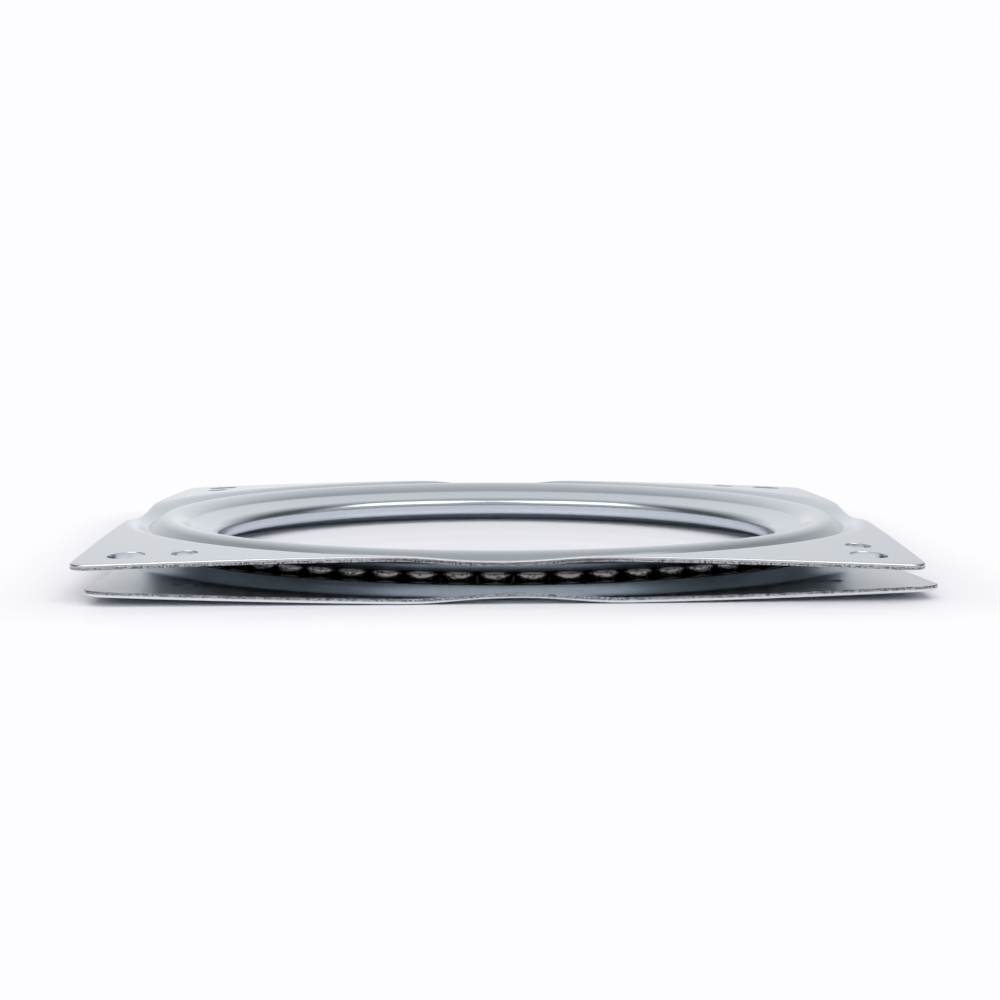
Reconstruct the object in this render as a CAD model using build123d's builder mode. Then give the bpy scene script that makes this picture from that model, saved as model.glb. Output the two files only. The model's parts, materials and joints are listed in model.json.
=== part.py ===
from build123d import *
from math import atan2, cos, degrees, hypot, pi, radians, sin, sqrt, tan
import os

os.makedirs("parts", exist_ok=True)

# Two square plates pressed from the same sheet, the upper one turned a little on the lower one
plate_side = 152.0
corner_radius = 4.0
sheet = 1.0
upper_turn = -2.4

# Full ring of loose balls between the plates
ball_diameter = 6.35
ball_gap = 0.15
race_play = 0.2
wall_play = 0.3
ball_circle_inset = 7.5
first_ball_angle = -92.8

# Rings pressed into both plates: race arched over the balls, V-shaped valley, then the corner tabs
race_bend = 3.4
race_wall_angle = 40.0
valley_depth = 2.55
valley_slope = 28.6
valley_bend = 1.1
tab_drop = 0.11
tab_slope = 3.4
tab_bend = 1.6

# Inner side of the upper plate: foot of the race, sloping band, shoulder, collar and curled lip
foot_drop = 1.55
foot_bend = 1.1
collar_inset = 9.9
shoulder_rise = 1.35
collar_bend = 1.4
lip_floor_gap = 1.9
lip_overlap = 2.5

# Inner rim of the lower plate, held between the lip and the sloping band
rim_wall_angle = 55.0
rim_bend = 1.1
lip_play = 0.3
collar_play = 0.8

# Punched holes
access_hole_diameter = 6.8
screw_hole_diameter = 4.8
hole_edge_distance = 9.1
screw_hole_spacing = 10.5
lower_hole_edge_distance = 16.6

# Levels that follow from the sheet, the balls and the plays
ball_radius = ball_diameter / 2
middle = ball_radius + race_play + sheet
height = 2 * middle
lip_top = lip_floor_gap + sheet
rim_underside = lip_top + lip_play
rim_top = rim_underside + sheet
collar_top = rim_top + shoulder_rise


# Distance from the ball circle at which a wall of this slope meets the crest, clear of the balls
def wall_reach(angle):
    wall_distance = ball_radius + wall_play + sheet
    return (wall_distance - middle * cos(radians(angle))) / sin(radians(angle))


# Radii that follow from the plate's side and the balls
ball_circle_radius = plate_side / 2 - ball_circle_inset
race_corner_radius = ball_circle_radius + wall_reach(race_wall_angle)
valley_radius = race_corner_radius + valley_depth / tan(radians(race_wall_angle))
tab_radius = valley_radius + (valley_depth - tab_drop) / tan(radians(valley_slope))
corner_reach = plate_side / sqrt(2)
race_inner_radius = ball_circle_radius - wall_reach(race_wall_angle)
foot_radius = race_inner_radius - foot_drop / tan(radians(race_wall_angle))
collar_radius = ball_circle_radius - collar_inset
wall_foot_radius = ball_circle_radius - wall_reach(rim_wall_angle)
wall_head_radius = wall_foot_radius - rim_underside / tan(radians(rim_wall_angle))
rim_radius = collar_radius + sheet + collar_play
lip_radius = rim_radius + lip_overlap
ball_count = int(2 * pi * ball_circle_radius / (ball_diameter + ball_gap))


# Outer skin of one plate from its corners in to the crest of the race, as (radius, height)
def outer_rings(crest_level, inward):
    tab_fall = (corner_reach - tab_radius) * tan(radians(tab_slope))
    return [
        (corner_reach, crest_level + inward * (tab_drop + tab_fall)),
        (tab_radius, crest_level + inward * tab_drop),
        (valley_radius, crest_level + inward * valley_depth),
        (race_corner_radius, crest_level),
    ]


# Both sides of a race bend round the balls, and the outer bends are the same on both plates
outer_bends = [tab_bend, valley_bend, race_bend]

# The upper plate's skin runs on over the race and the sloping band, down the collar and out along the lip
upper_skin = outer_rings(height, -1) + [
    (race_inner_radius, height),
    (foot_radius, height - foot_drop),
    (collar_radius, collar_top),
    (collar_radius, lip_floor_gap),
    (lip_radius, lip_floor_gap),
]
upper_bends = outer_bends + [race_bend, foot_bend, collar_bend, collar_bend]

# The lower plate's skin runs on up the race's inner wall and along the rim
lower_skin = outer_rings(0, 1) + [
    (wall_foot_radius, 0),
    (wall_head_radius, rim_underside),
    (rim_radius, rim_underside),
]
lower_bends = outer_bends + [race_bend, rim_bend]

# Upper plate: pressed rings, collar curled under the lower plate, square outline and corner holes
upper_plane = Plane.XY.rotated((0, 0, upper_turn))
access_offset = plate_side / 2 - hole_edge_distance
screw_offset = access_offset - screw_hole_spacing
screw_circle_radius = hypot(access_offset, screw_offset)
screw_angle = degrees(atan2(-screw_offset, access_offset))
with BuildPart() as upper_plate:
    with BuildSketch(Plane.XZ):
        with BuildLine():
            FilletPolyline(*upper_skin, radius=upper_bends)
            offset(amount=sheet, side=Side.LEFT)
        make_face()
    revolve(axis=Axis.Z)
    with BuildSketch(upper_plane):
        RectangleRounded(plate_side, plate_side, corner_radius)
    extrude(amount=height, mode=Mode.INTERSECT)
    with BuildSketch(upper_plane):
        with PolarLocations(sqrt(2) * access_offset, 4, 45):
            Circle(access_hole_diameter / 2)
        with PolarLocations(screw_circle_radius, 4, screw_angle):
            Circle(screw_hole_diameter / 2)
    extrude(amount=height, mode=Mode.SUBTRACT)
upper_plate.part.label = "upper_plate"
export_step(upper_plate.part, "parts/upper_plate.step")

# Lower plate: the same rings the other way up, with a raised inner rim and one screw hole at each corner
lower_offset = plate_side / 2 - lower_hole_edge_distance
with BuildPart() as lower_plate:
    with BuildSketch(Plane.XZ):
        with BuildLine():
            FilletPolyline(*lower_skin, radius=lower_bends)
            offset(amount=sheet, side=Side.RIGHT)
        make_face()
    revolve(axis=Axis.Z)
    with BuildSketch(Plane.XY):
        RectangleRounded(plate_side, plate_side, corner_radius)
    extrude(amount=height, mode=Mode.INTERSECT)
    with BuildSketch(Plane.XY):
        with PolarLocations(sqrt(2) * lower_offset, 4, 45):
            Circle(screw_hole_diameter / 2)
    extrude(amount=height, mode=Mode.SUBTRACT)
lower_plate.part.label = "lower_plate"
export_step(lower_plate.part, "parts/lower_plate.step")

# Ball set: loose balls that fill the ring between the two races
with BuildPart(Plane.XY.offset(middle)) as ball_set:
    with PolarLocations(ball_circle_radius, ball_count, first_ball_angle):
        Sphere(ball_radius)
ball_set.part.label = "ball_set"
export_step(ball_set.part, "parts/ball_set.step")
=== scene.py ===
import json
from math import atan2, cos, pi, radians, sin, tan

import bpy
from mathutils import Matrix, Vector


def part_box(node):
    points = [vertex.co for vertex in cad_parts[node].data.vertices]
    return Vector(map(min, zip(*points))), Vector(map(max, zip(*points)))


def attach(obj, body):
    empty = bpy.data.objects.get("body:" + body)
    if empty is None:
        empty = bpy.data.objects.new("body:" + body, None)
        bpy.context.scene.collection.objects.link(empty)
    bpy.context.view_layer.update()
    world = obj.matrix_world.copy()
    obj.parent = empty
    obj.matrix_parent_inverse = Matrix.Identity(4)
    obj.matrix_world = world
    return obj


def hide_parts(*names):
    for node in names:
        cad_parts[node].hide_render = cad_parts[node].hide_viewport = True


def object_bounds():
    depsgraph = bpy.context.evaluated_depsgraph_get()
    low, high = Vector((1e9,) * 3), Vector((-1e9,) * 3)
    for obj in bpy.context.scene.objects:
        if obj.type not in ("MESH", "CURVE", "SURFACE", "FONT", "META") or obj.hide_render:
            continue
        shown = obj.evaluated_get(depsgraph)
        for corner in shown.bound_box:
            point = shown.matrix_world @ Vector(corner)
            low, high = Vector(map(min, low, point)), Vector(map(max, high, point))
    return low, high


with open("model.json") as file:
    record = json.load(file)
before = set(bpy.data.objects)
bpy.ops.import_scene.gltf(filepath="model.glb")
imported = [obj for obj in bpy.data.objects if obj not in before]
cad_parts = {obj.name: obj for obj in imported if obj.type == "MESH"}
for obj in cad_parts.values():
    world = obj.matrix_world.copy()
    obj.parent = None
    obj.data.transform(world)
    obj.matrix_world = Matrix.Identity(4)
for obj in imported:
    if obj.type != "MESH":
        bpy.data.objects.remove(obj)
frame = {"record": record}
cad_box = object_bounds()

# Lower plate: a square of zinc plated sheet steel that is screwed to the base. A press gives it the
# ring that the balls run in, a V-shaped valley round the ring, four corner tabs and a raised inner rim.
# The sheet is a millimetre thick, and its outline and holes are sheared, so they show raw edges.
mm = 0.001
mounts = {mount["name"]: mount for mount in frame["record"]["mounts"]}
sheet = 1.0 * mm
corner_radius = 4.0 * mm
edge_roll = 0.42 * mm
edge_lean_angle = radians(20.0)
hole_break = 0.1 * mm
burr = 0.002 * mm
spokes = 352

ball_low, ball_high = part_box("ball_set")
ball_radius = (ball_high.z - ball_low.z) / 2
middle = (ball_high.z + ball_low.z) / 2
height = cad_box[1][2]
lower_low, lower_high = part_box("lower_plate")
plate_side = lower_high.x - lower_low.x
ball_circle_inset = 7.5 * mm
ball_circle = plate_side / 2 - ball_circle_inset
wall_play = 0.3 * mm
wall_distance = ball_radius + wall_play + sheet

race_bend = 3.4 * mm
# Dark grease on the faces between the plates, which is also painted shade: full at the race within this reach,
# and a thin film over the rest of those faces
grease_and_shade_reach = 3.4 * mm
oil_film_and_shade = 0.2
race_slope = radians(40.0)
race_reach = (wall_distance - middle * cos(race_slope)) / sin(race_slope)
valley_depth = 2.5 * mm
valley_bend = 0.5 * mm
valley_slope = radians(34.0)
valley_radius = ball_circle + race_reach + valley_depth / tan(race_slope)
tab_drop = 0.1 * mm
tab_slope = radians(3.4)
flange_offset = 0.45 * mm
flange_start = valley_radius + flange_offset
flange_depth = valley_depth - (flange_start - valley_radius) * tan(valley_slope)
corner_slope = radians(27.0)
corner_slope_reach = (77.0 * mm, 82.0 * mm)
tab_radius = flange_start + (flange_depth - tab_drop) / tan(corner_slope)
tab_round = 1.2 * mm
tab_bend_reach = 1.8 * mm

collar_radius = mounts["centre_opening"]["dims"]["r_mm"] * mm
collar_play = 0.8 * mm
rim_radius = collar_radius + sheet + collar_play
rim_underside = 3.2 * mm
rim_bend = 1.1 * mm
rim_slope = radians(55.0)
wall_foot = ball_circle - (wall_distance - middle * cos(rim_slope)) / sin(rim_slope)
wall_head = wall_foot - rim_underside / tan(rim_slope)


# Follows the corners of a bent sheet's skin and rounds each bend, as (radius, height, facing) points
def bent_skin(corners, bends, bend_steps=9, run_shares=(0.0, 0.06, 0.5, 0.94)):
    skin = []
    run_start = corners[0]

    def follow_run(run_end, heading, shares):
        for share in shares:
            skin.append((run_start[0] + share * (run_end[0] - run_start[0]),
                         run_start[1] + share * (run_end[1] - run_start[1]), heading + pi / 2))

    for before, corner, after, bend in zip(corners, corners[1:], corners[2:], bends):
        heading = atan2(corner[1] - before[1], corner[0] - before[0])
        turn = atan2(after[1] - corner[1], after[0] - corner[0]) - heading
        turn = (turn + pi) % (2 * pi) - pi
        tangent = bend * tan(abs(turn) / 2)
        run_end = (corner[0] - tangent * cos(heading), corner[1] - tangent * sin(heading))
        follow_run(run_end, heading, run_shares)
        side = bend if turn > 0 else -bend
        centre = (run_end[0] - side * sin(heading), run_end[1] + side * cos(heading))
        for step in range(bend_steps):
            facing = heading + pi / 2 + turn * step / bend_steps
            skin.append((centre[0] - side * cos(facing), centre[1] - side * sin(facing), facing))
        facing = heading + pi / 2 + turn
        run_start = (centre[0] - side * cos(facing), centre[1] - side * sin(facing))
    heading = atan2(corners[-1][1] - run_start[1], corners[-1][0] - run_start[0])
    run_end = (corners[-1][0] - edge_roll * cos(heading), corners[-1][1] - edge_roll * sin(heading))
    follow_run(run_end, heading, run_shares + (1.0,))
    return skin


# Nose of a sheared edge, as (share of the sheet's thickness, share of the roll) points: rolled over on the
# outer face, where the shear went in, and nearly square on the inner face
def sheared_nose(roll_steps=7, roll_depth=0.45, roll_width=0.93):
    nose = []
    for step in range(1, roll_steps + 1):
        angle = pi / 2 * step / roll_steps
        nose.append((roll_depth * (1 - cos(angle)), roll_width * sin(angle)))
    torn_face = [(0.66, 0.96), (0.88, 1.0), (0.96, 0.96), (0.995, 0.84)]
    return nose + torn_face


# Rows of the flange, as shares of the way to the foot of the tab's bend, past that bend and to the edge
def flange_rows(foot_rows=3, bend_rows=14, tab_rows=12):
    rows = [(row / foot_rows, 0, 0) for row in range(1, foot_rows + 1)]
    rows += [(1 - row / bend_rows, row / bend_rows, 0) for row in range(1, bend_rows + 1)]
    rows += [(0, 1 - row / tab_rows, row / tab_rows) for row in range(1, tab_rows + 1)]
    return rows


# Section through a plate as a loop of points: the pressed rings and the inner end as they are, and the
# flange as rows that still have to be drawn out to the square outline
def plate_section(name, corners, bends, thickness_side):
    labels = ("foot", "bend", "edge", "through", "grow", "cut", "torn", "grease_shade_mask")
    skin = bent_skin(corners, bends)
    inner = [(x + thickness_side * sheet * cos(facing), z + thickness_side * sheet * sin(facing))
             for x, z, facing in skin]
    end_heading = skin[-1][2] - pi / 2
    on_ring = (0,) * len(labels)
    points = [(x, z, *on_ring) for x, z, facing in skin]
    for through, roll in sheared_nose():
        x = skin[-1][0] + through * (inner[-1][0] - skin[-1][0]) + edge_roll * roll * cos(end_heading)
        z = skin[-1][1] + through * (inner[-1][1] - skin[-1][1]) + edge_roll * roll * sin(end_heading)
        points.append((x, z, 0, 0, 0, 0, 0, 1, through, 0))
    # The inner faces, between the plates, carry the mask of grease and painted shade: full over the race, a
    # thin film elsewhere, and the inner rows of the flange carry the thin film too
    points += [(x, z, *on_ring[1:], max(oil_film_and_shade, 1 - (abs(x - ball_circle) / grease_and_shade_reach) ** 4))
               for x, z in reversed(inner)]
    points += [(flange_start, 0, *row, 1, 0, 0, 0, oil_film_and_shade) for row in flange_rows()]
    points += [(flange_start, 0, 0, 0, 1, through, edge_roll * roll, 1, through, 0)
               for through, roll in reversed(sheared_nose())]
    points += [(flange_start, 0, *row, 0, 0, 0, 0, 0) for row in reversed(flange_rows())]
    section = bpy.data.meshes.new(name)
    section.from_pydata([(x, 0, z) for x, z, *rest in points], [], [])
    for place, label in enumerate(labels, start=2):
        layer = section.attributes.new(label, "FLOAT", "POINT")
        layer.data.foreach_set("value", [point[place] for point in points])
    return section


def add_node(tree, kind, **settings):
    node = tree.nodes.new(kind)
    for setting, value in settings.items():
        setattr(node, setting, value)
    return node


def feed(tree, socket, value):
    if isinstance(value, bpy.types.NodeSocket):
        tree.links.new(value, socket)
    else:
        socket.default_value = value


def reckon(tree, operation, *values):
    node = add_node(tree, "ShaderNodeMath", operation=operation)
    for socket, value in zip(node.inputs, values):
        feed(tree, socket, value)
    return node.outputs[0]


# Eases a value over from one level to another between two limits
def ease(tree, value, low, high, before, after):
    node = add_node(tree, "ShaderNodeMapRange", interpolation_type="SMOOTHSTEP")
    for socket, given in zip(node.inputs, (value, low, high, before, after)):
        feed(tree, socket, given)
    return node.outputs[0]


def vector(tree, **parts):
    node = add_node(tree, "ShaderNodeCombineXYZ")
    for part, value in parts.items():
        feed(tree, node.inputs[part], value)
    return node.outputs[0]


# New geometry tree with a mesh in, a mesh out and named inputs for its sizes
def new_tree(name, **inputs):
    tree = bpy.data.node_groups.new(name, "GeometryNodeTree")
    tree.interface.new_socket(name="Rough", in_out="INPUT", socket_type="NodeSocketGeometry")
    for label, kind in inputs.items():
        tree.interface.new_socket(name=label, in_out="INPUT", socket_type="NodeSocket" + kind)
    tree.interface.new_socket(name="Finished", in_out="OUTPUT", socket_type="NodeSocketGeometry")
    entry = tree.nodes.new("NodeGroupInput")
    return tree, entry.outputs


# Ends a tree: real meshes in place of instances, smooth faces and the finish
def end_tree(tree, mesh, finish):
    realize = add_node(tree, "GeometryNodeRealizeInstances")
    smooth = add_node(tree, "GeometryNodeSetShadeSmooth")
    coat = add_node(tree, "GeometryNodeSetMaterial")
    tree.links.new(mesh, realize.inputs["Geometry"])
    tree.links.new(realize.outputs["Geometry"], smooth.inputs["Geometry"])
    tree.links.new(smooth.outputs["Geometry"], coat.inputs["Geometry"])
    tree.links.new(finish, coat.inputs["Material"])
    tree.links.new(coat.outputs["Geometry"], tree.nodes.new("NodeGroupOutput").inputs["Finished"])


# Spins a section round the axis and draws the flange out to a rounded square, up to the tabs
def spinning_and_squaring():
    tree, entry = new_tree("spinning_and_squaring", spokes="Int", side="Float", corner="Float", turn="Float",
                           crest="Float", inward="Float", finish="Material")
    size = add_node(tree, "GeometryNodeAttributeDomainSize", component="MESH")
    tree.links.new(entry["Rough"], size.inputs["Geometry"])
    count = size.outputs["Point Count"]
    grid = add_node(tree, "GeometryNodeMeshGrid")
    feed(tree, grid.inputs["Size X"], count)
    feed(tree, grid.inputs["Size Y"], entry["spokes"])
    feed(tree, grid.inputs["Vertices X"], reckon(tree, "ADD", count, 1))
    feed(tree, grid.inputs["Vertices Y"], reckon(tree, "ADD", entry["spokes"], 1))
    place = add_node(tree, "ShaderNodeSeparateXYZ")
    tree.links.new(add_node(tree, "GeometryNodeInputPosition").outputs["Position"], place.inputs[0])
    half_count = reckon(tree, "MULTIPLY", count, 0.5)
    along = reckon(tree, "ROUND", reckon(tree, "ADD", place.outputs["X"], half_count))
    along = reckon(tree, "MODULO", along, count)
    nudge = 1e-6
    around = reckon(tree, "ADD", reckon(tree, "DIVIDE", place.outputs["Y"], entry["spokes"]), 0.5)
    around = reckon(tree, "MULTIPLY", reckon(tree, "FRACT", reckon(tree, "ADD", around, nudge)), 2 * pi)

    def from_section(label):
        sample = add_node(tree, "GeometryNodeSampleIndex", data_type="FLOAT", domain="POINT")
        named = add_node(tree, "GeometryNodeInputNamedAttribute", data_type="FLOAT")
        named.inputs["Name"].default_value = label
        tree.links.new(entry["Rough"], sample.inputs["Geometry"])
        tree.links.new(named.outputs["Attribute"], sample.inputs["Value"])
        tree.links.new(along, sample.inputs["Index"])
        return sample.outputs["Value"]

    spot = add_node(tree, "GeometryNodeSampleIndex", data_type="FLOAT_VECTOR", domain="POINT")
    tree.links.new(entry["Rough"], spot.inputs["Geometry"])
    tree.links.new(add_node(tree, "GeometryNodeInputPosition").outputs["Position"], spot.inputs["Value"])
    tree.links.new(along, spot.inputs["Index"])
    drawn = add_node(tree, "ShaderNodeSeparateXYZ")
    tree.links.new(spot.outputs["Value"], drawn.inputs[0])

    # The spokes crowd towards the four corners, where the outline turns tightest
    most_crowding = 0.15
    crowding = reckon(tree, "SINE", reckon(tree, "MULTIPLY", around, 4.0))
    own_angle = reckon(tree, "ADD", around, reckon(tree, "MULTIPLY", crowding, most_crowding))
    angle = reckon(tree, "ADD", own_angle, entry["turn"])
    own_cos = reckon(tree, "ABSOLUTE", reckon(tree, "COSINE", own_angle))
    own_sin = reckon(tree, "ABSOLUTE", reckon(tree, "SINE", own_angle))
    longer = reckon(tree, "MAXIMUM", own_cos, own_sin)
    shorter = reckon(tree, "MINIMUM", own_cos, own_sin)
    half = reckon(tree, "MULTIPLY", entry["side"], 0.5)
    straight = reckon(tree, "SUBTRACT", half, entry["corner"])
    side_reach = reckon(tree, "DIVIDE", half, longer)
    spread = reckon(tree, "MULTIPLY", straight, reckon(tree, "SUBTRACT", longer, shorter))
    bulge = reckon(tree, "SUBTRACT", reckon(tree, "MULTIPLY", entry["corner"], entry["corner"]),
                   reckon(tree, "MULTIPLY", spread, spread))
    bulge = reckon(tree, "SQRT", reckon(tree, "MAXIMUM", bulge, 0.0))
    corner_centre = reckon(tree, "MULTIPLY", straight, reckon(tree, "ADD", longer, shorter))
    corner_reach = reckon(tree, "ADD", corner_centre, bulge)
    at_corner = reckon(tree, "GREATER_THAN", reckon(tree, "MULTIPLY", side_reach, shorter), straight)
    reach = reckon(tree, "ADD", reckon(tree, "MULTIPLY", at_corner, corner_reach),
                   reckon(tree, "MULTIPLY", reckon(tree, "SUBTRACT", 1.0, at_corner), side_reach))

    # The blank is sheared flat and then pressed, so the edge leans over where the sheet slopes
    through = from_section("through")
    to_edge = from_section("edge")
    slope_lean = sheet * sin(valley_slope)
    pressed_lean = sheet * sin(edge_lean_angle)
    edge_lean = ease(tree, reach, tab_radius - tab_bend_reach, tab_radius + tab_bend_reach, pressed_lean,
                     -sheet * sin(tab_slope))
    lean = reckon(tree, "ADD", slope_lean, reckon(tree, "MULTIPLY", to_edge,
                                                  reckon(tree, "SUBTRACT", edge_lean, slope_lean)))
    span = reckon(tree, "SUBTRACT", reckon(tree, "SUBTRACT", reach, flange_start + edge_roll),
                  reckon(tree, "MAXIMUM", edge_lean, 0.0))

    # A flange row lies its share of the way out, and rises up the valley's side to the sloping tab. Where the
    # flange ends before the tab, the rows close up in fixed shares of its width
    foot_share = 0.45
    bend_share = 0.9
    bend_start = tab_radius - tab_bend_reach - flange_start
    bend_end = tab_radius + tab_bend_reach - flange_start
    foot_reach = reckon(tree, "MINIMUM", bend_start, reckon(tree, "MULTIPLY", span, foot_share))
    bend_reach = reckon(tree, "MINIMUM", bend_end, reckon(tree, "MULTIPLY", span, bend_share))
    to_foot = reckon(tree, "MULTIPLY", from_section("foot"), foot_reach)
    to_bend = reckon(tree, "MULTIPLY", from_section("bend"), bend_reach)
    out = reckon(tree, "ADD", reckon(tree, "ADD", to_foot, to_bend), reckon(tree, "MULTIPLY", to_edge, span))
    radius = reckon(tree, "ADD", reckon(tree, "ADD", drawn.outputs["X"], out),
                    reckon(tree, "ADD", reckon(tree, "MULTIPLY", through, lean), from_section("grow")))
    steepness = ease(tree, reach, *corner_slope_reach, tan(valley_slope), tan(corner_slope))
    climb = reckon(tree, "SUBTRACT", reckon(tree, "SUBTRACT", radius, flange_start),
                   reckon(tree, "MULTIPLY", through, slope_lean))
    rise = reckon(tree, "MULTIPLY", climb, steepness)
    fall = reckon(tree, "MULTIPLY", reckon(tree, "SUBTRACT", radius, tab_radius), tan(tab_slope))
    on_slope = reckon(tree, "ADD", reckon(tree, "SUBTRACT", flange_depth, rise),
                      reckon(tree, "MULTIPLY", through, sheet * cos(valley_slope)))
    on_tab = reckon(tree, "ADD", reckon(tree, "ADD", tab_drop, fall),
                    reckon(tree, "MULTIPLY", through, sheet / cos(tab_slope)))
    depth = reckon(tree, "SMOOTH_MAX", on_slope, on_tab, tab_round)
    flange_level = reckon(tree, "ADD", entry["crest"], reckon(tree, "MULTIPLY", entry["inward"], depth))
    on_flange = reckon(tree, "GREATER_THAN", out, 0.0)
    level = reckon(tree, "ADD", reckon(tree, "MULTIPLY", on_flange, flange_level),
                   reckon(tree, "MULTIPLY", reckon(tree, "SUBTRACT", 1.0, on_flange), drawn.outputs["Z"]))
    spun = vector(tree, X=reckon(tree, "MULTIPLY", radius, reckon(tree, "COSINE", angle)),
                  Y=reckon(tree, "MULTIPLY", radius, reckon(tree, "SINE", angle)), Z=level)

    plate = grid.outputs["Mesh"]
    # The raw cut, the torn part of a cut, and the grease with painted shade between the plates are kept on the
    # mesh as masks
    for label in ("cut", "torn", "grease_shade_mask"):
        marked = add_node(tree, "GeometryNodeStoreNamedAttribute", data_type="FLOAT", domain="POINT")
        marked.inputs["Name"].default_value = label
        tree.links.new(plate, marked.inputs["Geometry"])
        tree.links.new(from_section(label), marked.inputs["Value"])
        plate = marked.outputs["Geometry"]
    placed = add_node(tree, "GeometryNodeSetPosition")
    tree.links.new(plate, placed.inputs["Geometry"])
    tree.links.new(spun, placed.inputs["Position"])
    seam = 0.001 * mm
    closed = add_node(tree, "GeometryNodeMergeByDistance")
    closed.inputs["Distance"].default_value = seam
    tree.links.new(placed.outputs["Geometry"], closed.inputs["Geometry"])

    # An upper plate's section runs the other way round, so its faces are turned to look out of the sheet
    outward = add_node(tree, "GeometryNodeFlipFaces")
    tree.links.new(closed.outputs["Geometry"], outward.inputs["Mesh"])
    feed(tree, outward.inputs["Selection"], reckon(tree, "LESS_THAN", entry["inward"], 0.0))
    end_tree(tree, outward.outputs["Mesh"], entry["finish"])
    return tree


# Ring of points at one level, the first of them at a given angle
def ring_of_points(tree, count, circle, level, first):
    ring = add_node(tree, "GeometryNodeMeshCircle")
    feed(tree, ring.inputs["Vertices"], count)
    feed(tree, ring.inputs["Radius"], circle)
    placed = add_node(tree, "GeometryNodeTransform")
    tree.links.new(ring.outputs["Mesh"], placed.inputs["Geometry"])
    tree.links.new(vector(tree, Z=level), placed.inputs["Translation"])
    tree.links.new(vector(tree, Z=first), placed.inputs["Rotation"])
    return placed.outputs["Geometry"]


# Punches a ring of round holes square to the sheet, each with its edge broken on the outer side
def punching(hole_steps=56):
    tree, entry = new_tree("punching", holes="Int", circle="Float", first="Float", level="Float",
                           hole="Float", lean="Float", outward="Float", finish="Material")
    ring = ring_of_points(tree, entry["holes"], entry["circle"], entry["level"], entry["first"])
    each = add_node(tree, "GeometryNodeInputIndex").outputs[0]
    step = reckon(tree, "DIVIDE", 2 * pi, entry["holes"])
    aim = vector(tree, Y=entry["lean"],
                 Z=reckon(tree, "ADD", entry["first"], reckon(tree, "MULTIPLY", each, step)))

    # The flare starts inside the shank, so that the two punches cross and never just touch
    shank = add_node(tree, "GeometryNodeMeshCylinder", fill_type="NGON")
    shank.inputs["Vertices"].default_value = hole_steps
    shank.inputs["Depth"].default_value = 3 * sheet
    feed(tree, shank.inputs["Radius"], entry["hole"])
    flare = add_node(tree, "GeometryNodeMeshCone", fill_type="NGON")
    flare.inputs["Vertices"].default_value = hole_steps
    flare.inputs["Depth"].default_value = sheet + hole_break
    feed(tree, flare.inputs["Radius Bottom"], reckon(tree, "SUBTRACT", entry["hole"], hole_break))
    feed(tree, flare.inputs["Radius Top"], reckon(tree, "ADD", entry["hole"], sheet))
    lifted = add_node(tree, "GeometryNodeTransform")
    tree.links.new(flare.outputs["Mesh"], lifted.inputs["Geometry"])
    tree.links.new(vector(tree, Z=sheet / 2 - 2 * hole_break), lifted.inputs["Translation"])
    mirrored = add_node(tree, "GeometryNodeTransform")
    tree.links.new(lifted.outputs["Geometry"], mirrored.inputs["Geometry"])
    from_below = reckon(tree, "LESS_THAN", entry["outward"], 0.0)
    half_turn = vector(tree, X=reckon(tree, "MULTIPLY", from_below, pi))
    tree.links.new(half_turn, mirrored.inputs["Rotation"])

    plate = entry["Rough"]
    for punch in (shank.outputs["Mesh"], mirrored.outputs["Geometry"]):
        raw = add_node(tree, "GeometryNodeStoreNamedAttribute", data_type="FLOAT", domain="POINT")
        raw.inputs["Name"].default_value = "cut"
        raw.inputs["Value"].default_value = 1.0
        tree.links.new(punch, raw.inputs["Geometry"])
        punches = add_node(tree, "GeometryNodeInstanceOnPoints")
        tree.links.new(ring, punches.inputs["Points"])
        tree.links.new(raw.outputs["Geometry"], punches.inputs["Instance"])
        tree.links.new(aim, punches.inputs["Rotation"])
        made = add_node(tree, "GeometryNodeRealizeInstances")
        tree.links.new(punches.outputs["Instances"], made.inputs["Geometry"])
        cut = add_node(tree, "GeometryNodeMeshBoolean", operation="DIFFERENCE", solver="MANIFOLD")
        tree.links.new(plate, cut.inputs["Mesh 1"])
        tree.links.new(made.outputs["Geometry"], cut.inputs["Mesh 2"])
        plate = cut.outputs["Mesh"]
    end_tree(tree, plate, entry["finish"])
    return tree


# Clears away the slivers that the punches leave along a cut
def deburring():
    tree, entry = new_tree("deburring", burr="Float", finish="Material")
    cleared = add_node(tree, "GeometryNodeMergeByDistance")
    tree.links.new(entry["Rough"], cleared.inputs["Geometry"])
    feed(tree, cleared.inputs["Distance"], entry["burr"])
    end_tree(tree, cleared.outputs["Geometry"], entry["finish"])
    return tree


# Runs trees over a rough mesh in turn and keeps the result as a plain mesh
def make_piece(name, rough, *stages, sharp_angle=radians(40.0)):
    piece = bpy.data.objects.new(name, rough)
    bpy.context.scene.collection.objects.link(piece)
    for tree, sizes in stages:
        stage = piece.modifiers.new(tree.name, "NODES")
        stage.node_group = tree
        for socket in tree.interface.items_tree:
            if socket.name in sizes:
                stage[socket.identifier] = sizes[socket.name]
    view = bpy.context.evaluated_depsgraph_get()
    made = bpy.data.meshes.new_from_object(piece.evaluated_get(view), preserve_all_data_layers=True,
                                           depsgraph=view)
    piece.modifiers.clear()
    piece.data = made
    made.name = name
    made.set_sharp_from_angle(angle=sharp_angle)
    return piece


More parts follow.
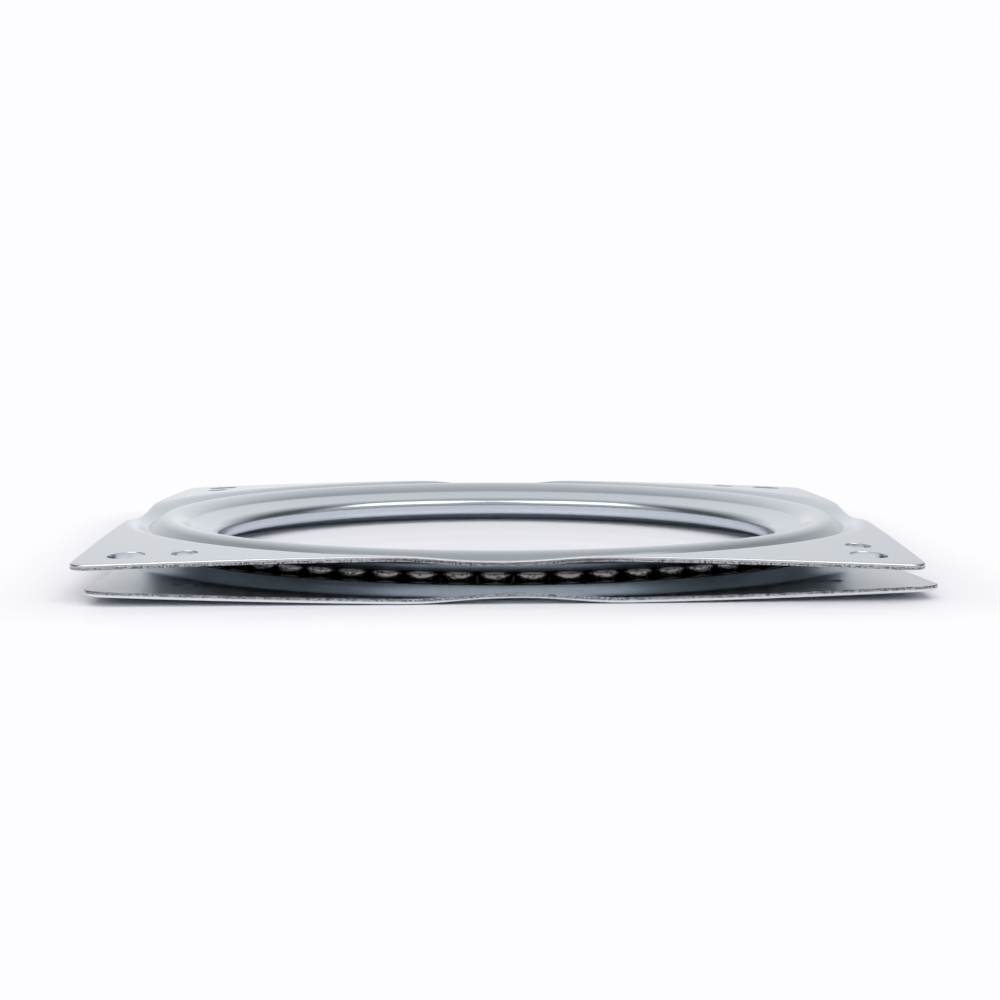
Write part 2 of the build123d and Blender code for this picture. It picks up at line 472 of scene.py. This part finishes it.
# Fine mottling of a plated or polished surface: a soft cloud, a fine grain and small dark pits
def mottling():
    group = bpy.data.node_groups.new("mottling", "ShaderNodeTree")
    for label in ("Cloud Scale", "Grain Scale", "Pit Scale", "Pit Share"):
        group.interface.new_socket(name=label, in_out="INPUT", socket_type="NodeSocketFloat")
    for label in ("Cloud", "Grain", "Pits"):
        group.interface.new_socket(name=label, in_out="OUTPUT", socket_type="NodeSocketFloat")
    entry = group.nodes.new("NodeGroupInput").outputs
    leave = group.nodes.new("NodeGroupOutput").inputs
    place = add_node(group, "ShaderNodeTexCoord").outputs["Object"]
    noises = {}
    for label in ("Cloud", "Grain", "Pit"):
        noise = add_node(group, "ShaderNodeTexNoise")
        noise.inputs["Detail"].default_value = 3.0
        group.links.new(place, noise.inputs["Vector"])
        group.links.new(entry[label + " Scale"], noise.inputs["Scale"])
        noises[label] = noise.outputs["Fac"]
    group.links.new(noises["Cloud"], leave["Cloud"])
    group.links.new(noises["Grain"], leave["Grain"])
    pit_brink = reckon(group, "SUBTRACT", 0.75, entry["Pit Share"])
    pit_floor = reckon(group, "SUBTRACT", 0.85, entry["Pit Share"])
    pits = ease(group, noises["Pit"], pit_brink, pit_floor, 0.0, 1.0)
    group.links.new(pits, leave["Pits"])
    return group


def tint_mix(tree, factor, first, second):
    mix = add_node(tree, "ShaderNodeMix", data_type="RGBA")
    for socket, value in (("Factor", factor), ("A", first), ("B", second)):
        feed(tree, mix.inputs[socket], value)
    return mix.outputs["Result"]


# Bright zinc plate: cold grey metal, a little cloudy. A sheared edge is raw steel, smooth next to the outer
# face and torn and speckled further in
def zinc_sheet_finish():
    plate_tints = ((0.635, 0.69, 0.745, 1), (0.68, 0.735, 0.785, 1))
    sheared_tint = (0.82, 0.84, 0.87, 1)
    torn_tint = (0.46, 0.475, 0.50, 1)
    speckle_tint = (0.10, 0.105, 0.11, 1)
    # Near-black tint of the faces between the plates: partly grease, partly painted shade
    grease_and_shade_tint = (0.09, 0.09, 0.085, 1)
    tear_start = 0.35
    tear_full = 0.6
    plate_roughness = 0.17
    grain_roughness = 0.05
    raw_roughness = 0.06
    grease_roughness = 0.2
    finish = bpy.data.materials.new("zinc_sheet")
    finish.use_nodes = True
    tree = finish.node_tree
    metal = tree.nodes["Principled BSDF"]
    metal.inputs["Metallic"].default_value = 1.0
    plating = add_node(tree, "ShaderNodeGroup", node_tree=mottled)
    plating.inputs["Cloud Scale"].default_value = 45.0
    plating.inputs["Grain Scale"].default_value = 1800.0
    plating.inputs["Pit Scale"].default_value = 3600.0
    plating.inputs["Pit Share"].default_value = 0.28
    cut = add_node(tree, "ShaderNodeAttribute", attribute_name="cut").outputs["Fac"]
    torn = add_node(tree, "ShaderNodeAttribute", attribute_name="torn").outputs["Fac"]
    torn = ease(tree, torn, tear_start, tear_full, 0.0, 1.0)
    speckle = reckon(tree, "MULTIPLY", plating.outputs["Pits"], torn)
    # Mask of the grease and painted shade on the faces between the plates
    grease_shade_mask = add_node(tree, "ShaderNodeAttribute", attribute_name="grease_shade_mask").outputs["Fac"]
    plate_tint = tint_mix(tree, plating.outputs["Cloud"], *plate_tints)
    raw_tint = tint_mix(tree, torn, sheared_tint, torn_tint)
    raw_tint = tint_mix(tree, speckle, raw_tint, speckle_tint)
    clean_tint = tint_mix(tree, cut, plate_tint, raw_tint)
    feed(tree, metal.inputs["Base Color"], tint_mix(tree, grease_shade_mask, clean_tint, grease_and_shade_tint))
    roughness = plate_roughness
    for share, gain in ((plating.outputs["Grain"], grain_roughness), (cut, raw_roughness),
                        (grease_shade_mask, grease_roughness)):
        roughness = reckon(tree, "ADD", roughness, reckon(tree, "MULTIPLY", share, gain))
    feed(tree, metal.inputs["Roughness"], roughness)
    bump = add_node(tree, "ShaderNodeBump")
    bump.inputs["Strength"].default_value = 0.08
    bump.inputs["Distance"].default_value = 0.02 * mm
    tree.links.new(plating.outputs["Grain"], bump.inputs["Height"])
    tree.links.new(bump.outputs["Normal"], metal.inputs["Normal"])
    return finish


mottled = mottling()
zinc_sheet = zinc_sheet_finish()
spin_and_square = spinning_and_squaring()
punch = punching()
deburr = deburring()

lower_skin = [
    (flange_start, flange_depth),
    (valley_radius, valley_depth),
    (ball_circle + race_reach, 0),
    (wall_foot, 0),
    (wall_head, rim_underside),
    (rim_radius, rim_underside),
]
lower_bends = [valley_bend, race_bend, race_bend, rim_bend]
lower_section = plate_section("lower_section", lower_skin, lower_bends, -1)


# Sizes for drawing out a plate, which stands either way up
def plate_sizes(turn, crest, inward):
    return dict(spokes=spokes, side=plate_side, corner=corner_radius, turn=turn, crest=crest, inward=inward,
                finish=zinc_sheet)


# Sizes for punching a ring of holes, centred in the thickness of the sloping tabs
def hole_sizes(holes, first, crest, inward):
    circle = holes["pcd_mm"] / 2 * mm
    depth = tab_drop + (circle - tab_radius) * tan(tab_slope) + sheet / 2
    return dict(holes=holes["count"], circle=circle, first=first, level=crest + inward * depth,
                hole=holes["hole_r_mm"] * mm, lean=-inward * tab_slope, outward=-inward, finish=zinc_sheet)


corner_angle = radians(45.0)
lower_holes = mounts["lower_screw_holes"]["dims"]
lower_plate = make_piece(
    "lower_plate_sheet", lower_section,
    (spin_and_square, plate_sizes(turn=0.0, crest=0.0, inward=1.0)),
    (punch, hole_sizes(lower_holes, first=corner_angle, crest=0.0, inward=1.0)),
    (deburr, dict(burr=burr, finish=zinc_sheet)))
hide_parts("lower_plate")
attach(lower_plate, "lower_plate")

# Balls: a full ring of loose quarter-inch steel balls that roll between the two plates.
# They are polished and carry a film of dark grease, which leaves them spotted.
ball_count = 66
first_ball = radians(-92.8)
ball_seed = 7


# Lays a ring of balls, each turned its own way
def ball_laying(segments=40, rings=20):
    tree, entry = new_tree("ball_laying", balls="Int", circle="Float", first="Float", level="Float",
                           ball="Float", seed="Int", finish="Material")
    ring = ring_of_points(tree, entry["balls"], entry["circle"], entry["level"], entry["first"])
    ball = add_node(tree, "GeometryNodeMeshUVSphere")
    ball.inputs["Segments"].default_value = segments
    ball.inputs["Rings"].default_value = rings
    feed(tree, ball.inputs["Radius"], entry["ball"])
    tumble = add_node(tree, "FunctionNodeRandomValue", data_type="FLOAT_VECTOR")
    tumble.inputs["Max"].default_value = (2 * pi, 2 * pi, 2 * pi)
    feed(tree, tumble.inputs["Seed"], entry["seed"])
    laid = add_node(tree, "GeometryNodeInstanceOnPoints")
    tree.links.new(ring, laid.inputs["Points"])
    tree.links.new(ball.outputs["Mesh"], laid.inputs["Instance"])
    tree.links.new(tumble.outputs["Value"], laid.inputs["Rotation"])
    end_tree(tree, laid.outputs["Instances"], entry["finish"])
    return tree


# Polished ball steel under a patchy film of grease
def ball_steel_finish():
    bare_tint = (0.26, 0.25, 0.245, 1)
    spotted_tint = (0.07, 0.065, 0.06, 1)
    bare_roughness = 0.08
    film_roughness = 0.16
    finish = bpy.data.materials.new("ball_steel")
    finish.use_nodes = True
    tree = finish.node_tree
    metal = tree.nodes["Principled BSDF"]
    metal.inputs["Metallic"].default_value = 1.0
    film = add_node(tree, "ShaderNodeGroup", node_tree=mottled)
    film.inputs["Cloud Scale"].default_value = 500.0
    film.inputs["Grain Scale"].default_value = 1600.0
    film.inputs["Pit Scale"].default_value = 1500.0
    film.inputs["Pit Share"].default_value = 0.24
    feed(tree, metal.inputs["Base Color"], tint_mix(tree, film.outputs["Pits"], bare_tint, spotted_tint))
    clouding = reckon(tree, "MULTIPLY", film.outputs["Cloud"], film_roughness)
    feed(tree, metal.inputs["Roughness"], reckon(tree, "ADD", bare_roughness, clouding))
    return finish


balls = make_piece(
    "steel_balls", bpy.data.meshes.new("ball_rough"),
    (ball_laying(), dict(balls=ball_count, circle=ball_circle, first=first_ball, level=middle,
                         ball=ball_radius, seed=ball_seed, finish=ball_steel_finish())))
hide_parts("ball_set")
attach(balls, "ball_train")

# Upper plate: the same sheet and the same pressed rings, the other way up, screwed under the turning
# board. Its inner side slopes down to a collar, which goes through the lower plate and is curled out
# under its rim, so that one pressing holds the whole bearing together.
upper_turn = radians(-2.4)
race_inner_bend = 6.1 * mm
foot_drop = 1.75 * mm
foot_radius = ball_circle - race_reach - foot_drop / tan(race_slope)
foot_bend = 0.35 * mm
collar_top = 5.55 * mm
shoulder_bend = 1.8 * mm
lip_bend = 1.4 * mm
lip_level = 1.9 * mm
lip_overlap = 2.5 * mm
lip_radius = rim_radius + lip_overlap
upper_skin = [
    (flange_start, height - flange_depth),
    (valley_radius, height - valley_depth),
    (ball_circle + race_reach, height),
    (ball_circle - race_reach, height),
    (foot_radius, height - foot_drop),
    (collar_radius, collar_top),
    (collar_radius, lip_level),
    (lip_radius, lip_level),
]
upper_bends = [valley_bend, race_bend, race_inner_bend, foot_bend, shoulder_bend, lip_bend]
upper_section = plate_section("upper_section", upper_skin, upper_bends, 1)

access_holes = mounts["upper_access_holes"]["dims"]
screw_holes = mounts["upper_screw_holes"]["dims"]
access_offset = access_holes["pcd_mm"] / 2 * mm * cos(corner_angle)
screw_circle = screw_holes["pcd_mm"] / 2 * mm
screw_angle = -atan2((screw_circle ** 2 - access_offset ** 2) ** 0.5, access_offset)
upper_plate = make_piece(
    "upper_plate_sheet", upper_section,
    (spin_and_square, plate_sizes(turn=upper_turn, crest=height, inward=-1.0)),
    (punch, hole_sizes(access_holes, first=upper_turn + corner_angle, crest=height, inward=-1.0)),
    (punch, hole_sizes(screw_holes, first=upper_turn + screw_angle, crest=height, inward=-1.0)),
    (deburr, dict(burr=burr, finish=zinc_sheet)))
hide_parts("upper_plate")
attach(upper_plate, "upper_plate")

# Floor: a white table top that the lower plate's ring stands on, smooth enough for a faint reflection.
# Far from the bearing it goes over into the white of the backdrop, and from below it is see-through.
floor_half = 4.0
floor_level = -0.02 * mm
floor_tints = ((0.93, 0.93, 0.975, 1), (0.94, 0.94, 0.985, 1))
backdrop_white = (0.985, 0.98, 1.0, 1)
floor_mesh = bpy.data.meshes.new("white_table")
floor_corners = ((-1, -1), (1, -1), (1, 1), (-1, 1))
floor_mesh.from_pydata([(x * floor_half, y * floor_half, floor_level) for x, y in floor_corners], [],
                       [(0, 1, 2, 3)])
floor = bpy.data.objects.new("white_table", floor_mesh)
bpy.context.scene.collection.objects.link(floor)


# Matt white with a faint reflection. The fade to the backdrop follows a rounded square round the plates,
# and its reach is given in sides of a plate
def white_table_finish():
    reflection = 0.1
    reflection_roughness = 0.06
    fade_start = 0.5
    fade_end = 0.68
    squareness = 7.0
    finish = bpy.data.materials.new("white_table")
    finish.use_nodes = True
    tree = finish.node_tree
    place = add_node(tree, "ShaderNodeTexCoord").outputs["Object"]
    cloud = add_node(tree, "ShaderNodeTexNoise")
    cloud.inputs["Scale"].default_value = 3.0
    tree.links.new(place, cloud.inputs["Vector"])
    matt = tree.nodes["Principled BSDF"]
    matt.inputs["Specular IOR Level"].default_value = 0.0
    matt.inputs["Roughness"].default_value = 1.0
    feed(tree, matt.inputs["Base Color"], tint_mix(tree, cloud.outputs["Fac"], *floor_tints))
    shine = add_node(tree, "ShaderNodeBsdfGlossy")
    shine.inputs["Roughness"].default_value = reflection_roughness
    table = add_node(tree, "ShaderNodeMixShader")
    table.inputs["Fac"].default_value = reflection
    tree.links.new(matt.outputs[0], table.inputs[1])
    tree.links.new(shine.outputs[0], table.inputs[2])
    spot = add_node(tree, "ShaderNodeSeparateXYZ")
    tree.links.new(place, spot.inputs[0])
    spread = 0.0
    for axis in ("X", "Y"):
        aside = reckon(tree, "DIVIDE", reckon(tree, "ABSOLUTE", spot.outputs[axis]), plate_side)
        spread = reckon(tree, "ADD", spread, reckon(tree, "POWER", aside, squareness))
    distance = reckon(tree, "POWER", spread, 1 / squareness)
    far = ease(tree, distance, fade_start, fade_end, 0.0, 1.0)
    path = add_node(tree, "ShaderNodeLightPath")
    seen = reckon(tree, "MAXIMUM", path.outputs["Is Camera Ray"], path.outputs["Is Glossy Ray"])
    glow = add_node(tree, "ShaderNodeEmission")
    glow.inputs["Color"].default_value = backdrop_white
    mix = add_node(tree, "ShaderNodeMixShader")
    tree.links.new(reckon(tree, "MULTIPLY", seen, far), mix.inputs["Fac"])
    tree.links.new(table.outputs[0], mix.inputs[1])
    tree.links.new(glow.outputs[0], mix.inputs[2])
    below = add_node(tree, "ShaderNodeNewGeometry").outputs["Backfacing"]
    open_below = add_node(tree, "ShaderNodeMixShader")
    tree.links.new(below, open_below.inputs["Fac"])
    tree.links.new(mix.outputs[0], open_below.inputs[1])
    tree.links.new(add_node(tree, "ShaderNodeBsdfTransparent").outputs[0], open_below.inputs[2])
    tree.links.new(open_below.outputs[0], tree.nodes["Material Output"].inputs["Surface"])
    return finish


floor_mesh.materials.append(white_table_finish())


# Light: a white light tent, brightest low down behind the bearing and darker overhead and at the sides, with a
# dim upper front. Two softboxes hang over the front corners, and a lamp before the bearing lights its front
# edges but is kept out of the reflections.
def light_tent():
    back_glow = 0.93
    fall_from_back = 0.29
    fall_to_sides = 0.8
    front_glow = 0.5
    least_glow = 0.1
    front_edge = 0.2
    backdrop_edge = (0.965, 0.995)
    world = bpy.data.worlds.new("light_tent")
    world.use_nodes = True
    tree = world.node_tree
    tent = tree.nodes["Background"]
    look = add_node(tree, "ShaderNodeSeparateXYZ")
    tree.links.new(add_node(tree, "ShaderNodeTexCoord").outputs["Generated"], look.inputs[0])
    from_back = reckon(tree, "MULTIPLY", reckon(tree, "ARCCOSINE", look.outputs["Y"]), fall_from_back)
    sideways = reckon(tree, "MULTIPLY", look.outputs["X"], look.outputs["X"])
    sideways = reckon(tree, "MULTIPLY", sideways, fall_to_sides)
    glow = reckon(tree, "SUBTRACT", reckon(tree, "SUBTRACT", back_glow, from_back), sideways)
    front = reckon(tree, "MULTIPLY", ease(tree, look.outputs["Y"], -front_edge, front_edge, 1.0, 0.0),
                   ease(tree, look.outputs["Z"], 0.0, front_edge, 0.0, front_glow))
    glow = reckon(tree, "MAXIMUM", glow, reckon(tree, "MAXIMUM", front, least_glow))
    path = add_node(tree, "ShaderNodeLightPath")
    mirrored = reckon(tree, "MAXIMUM", path.outputs["Is Glossy Ray"], path.outputs["Is Transmission Ray"])
    behind = ease(tree, look.outputs["Y"], *backdrop_edge, 0.0, 1.0)
    backdrop = reckon(tree, "MULTIPLY", mirrored, behind)
    backdrop = reckon(tree, "MAXIMUM", path.outputs["Is Camera Ray"], backdrop)
    tent.inputs["Color"].default_value = backdrop_white
    tree.links.new(reckon(tree, "MAXIMUM", backdrop, glow), tent.inputs["Strength"])
    return world


bpy.context.scene.world = light_tent()

# Name, place, width and depth in metres, power in watts, and whether the metal mirrors it
lamps = (
    ("left_softbox", (-0.36, -0.3, 0.67), (0.7, 0.5), 1.65, True),
    ("right_softbox", (0.36, -0.3, 0.67), (0.7, 0.5), 1.65, True),
    ("front_light", (0.0, -0.7, 0.35), (0.5, 0.3), 2.0, False),
)
for lamp_name, lamp_place, (lamp_width, lamp_depth), lamp_power, mirrored in lamps:
    lamp = bpy.data.lights.new(lamp_name, "AREA")
    lamp.shape = "RECTANGLE"
    lamp.size = lamp_width
    lamp.size_y = lamp_depth
    lamp.energy = lamp_power
    holder = bpy.data.objects.new(lamp_name, lamp)
    holder.location = lamp_place
    holder.rotation_euler = (-Vector(lamp_place)).to_track_quat("-Z", "Y").to_euler()
    holder.visible_glossy = mirrored
    bpy.context.scene.collection.objects.link(holder)

# Camera: low in front of the bearing, looking slightly down on it, as the photo was taken. Its place was fitted
# to the corners, edges and rings of the plates and to the balls.
view_turn = radians(-2.79)
view_drop = radians(5.549)
view_lens = 72.05
view_aside = 0.826 * mm
view_back = 424.78 * mm
view_height = 52.38 * mm
camera = bpy.data.objects.new("camera", bpy.data.cameras.new("camera"))
camera.data.lens = view_lens
camera.data.sensor_width = 36.0
camera.data.clip_start = 0.01
camera.location = (view_aside * cos(view_turn) + view_back * sin(view_turn),
                   view_aside * sin(view_turn) - view_back * cos(view_turn), view_height)
camera.rotation_euler = (pi / 2 - view_drop, 0, view_turn)
bpy.context.scene.collection.objects.link(camera)
bpy.context.scene.camera = camera
bpy.context.scene.view_settings.view_transform = "Standard"
